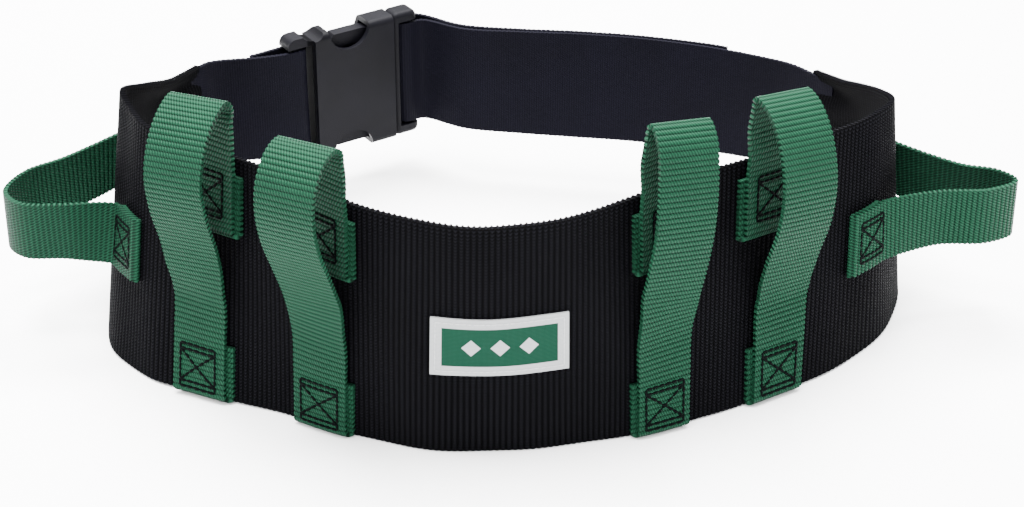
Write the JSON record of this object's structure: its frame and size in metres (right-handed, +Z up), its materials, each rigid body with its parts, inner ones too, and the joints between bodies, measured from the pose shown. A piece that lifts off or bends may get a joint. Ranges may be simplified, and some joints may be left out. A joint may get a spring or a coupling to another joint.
{
  "type": "gait belt",
  "caption": "Waist-worn transfer belt: wide webbing panel, back strap with side-release buckle, upright and side webbing handles.",
  "frame": {"origin": "middle of the belt's outline on the surface that it stands on", "axes": "+X to the left as worn, across the belt and through the side handles; +Y from the front panel to the back strap; +Z up"},
  "size_m": [0.4255, 0.2563, 0.1313],
  "materials": {
    "panel_webbing": "coarse ribbed black webbing",
    "strap_webbing": "smooth black nylon webbing",
    "green_webbing": "ribbed green nylon webbing",
    "buckle_plastic": "fine matt moulded",
    "label_cloth": "woven label with a green field and a white border",
    "black_thread": "sewing thread",
    "pale_thread": "sewing thread"
  },
  "bodies": {
    "belt": {"buckle_socket": "buckle_plastic", "handle_1_box_stitching": "black_thread", "handle_1_lower_end": "green_webbing", "handle_1_upper_end": "green_webbing", "handle_2_box_stitching": "black_thread", "handle_2_lower_end": "green_webbing", "handle_2_upper_end": "green_webbing", "handle_3_box_stitching": "black_thread", "handle_3_lower_end": "green_webbing", "handle_3_upper_end": "green_webbing", "handle_4_box_stitching": "black_thread", "handle_4_lower_end": "green_webbing", "handle_4_upper_end": "green_webbing", "label_patch": "label_cloth", "label_stitching": "pale_thread", "left_strap_seam": "black_thread", "long_strap": "strap_webbing", "panel_webbing": "panel_webbing", "right_strap_seam": "black_thread", "short_strap": "strap_webbing", "side_handle_left_box_stitching": "black_thread", "side_handle_left_front_end": "green_webbing", "side_handle_left_rear_end": "green_webbing", "side_handle_right_box_stitching": "black_thread", "side_handle_right_front_end": "green_webbing", "side_handle_right_rear_end": "green_webbing", "strap_tail": "strap_webbing"},
    "plug": {"buckle_plug": "buckle_plastic", "strap_wrap": "strap_webbing"},
    "handle_1": {"handle_1_loop": "green_webbing"},
    "handle_2": {"handle_2_loop": "green_webbing"},
    "handle_3": {"handle_3_loop": "green_webbing"},
    "handle_4": {"handle_4_loop": "green_webbing"},
    "prong_lower": {"prong_lower": "buckle_plastic"},
    "prong_upper": {"prong_upper": "buckle_plastic"},
    "side_handle_left": {"side_handle_left_loop": "green_webbing"},
    "side_handle_right": {"side_handle_right_loop": "green_webbing"}
  },
  "joints": [
    {"name": "handle_1_lift", "type": "hinge", "parent": "belt", "child": "handle_1", "pos_m": [-0.12106, -0.05385, 0.09876], "axis": [-0.9111, 0.4105, -0.0385], "range_deg": [0, 20]},
    {"name": "handle_2_lift", "type": "hinge", "parent": "belt", "child": "handle_2", "pos_m": [-0.07303, -0.09805, 0.10242], "axis": [-0.8924, 0.4512, -0.0102], "range_deg": [0, 20]},
    {"name": "handle_3_lift", "type": "hinge", "parent": "belt", "child": "handle_3", "pos_m": [0.06107, -0.0889, 0.10135], "axis": [-0.9072, -0.4187, 0.0398], "range_deg": [0, 20]},
    {"name": "handle_4_lift", "type": "hinge", "parent": "belt", "child": "handle_4", "pos_m": [0.10452, -0.05399, 0.09781], "axis": [-0.8575, -0.5085, 0.078], "range_deg": [0, 20]},
    {"name": "side_handle_left_tilt", "type": "hinge", "parent": "belt", "child": "side_handle_left", "pos_m": [-0.186, -0.0064, 0.05055], "axis": [0, 1, 0], "range_deg": [-20, 20], "stiffness_Nm_per_rad": 0.15},
    {"name": "side_handle_right_tilt", "type": "hinge", "parent": "belt", "child": "side_handle_right", "pos_m": [0.181, -0.0064, 0.05055], "axis": [0, -1, 0], "range_deg": [-20, 20], "stiffness_Nm_per_rad": 0.15},
    {"name": "buckle_release", "type": "slide", "parent": "belt", "child": "plug", "axis": [0.8387, 0.5446, 0], "range_m": [0, 0.034], "deforming": ["strap_wrap"]},
    {"name": "prong_upper_squeeze", "type": "hinge", "parent": "plug", "child": "prong_upper", "pos_m": [-0.05907, 0.11595, 0.07535], "axis": [0.5446, -0.8387, 0], "range_deg": [0, 7], "stiffness_Nm_per_rad": 0.5},
    {"name": "prong_lower_squeeze", "type": "hinge", "parent": "plug", "child": "prong_lower", "pos_m": [-0.05907, 0.11595, 0.02535], "axis": [-0.5446, 0.8387, 0], "range_deg": [0, 7], "stiffness_Nm_per_rad": 0.5}
  ]
}
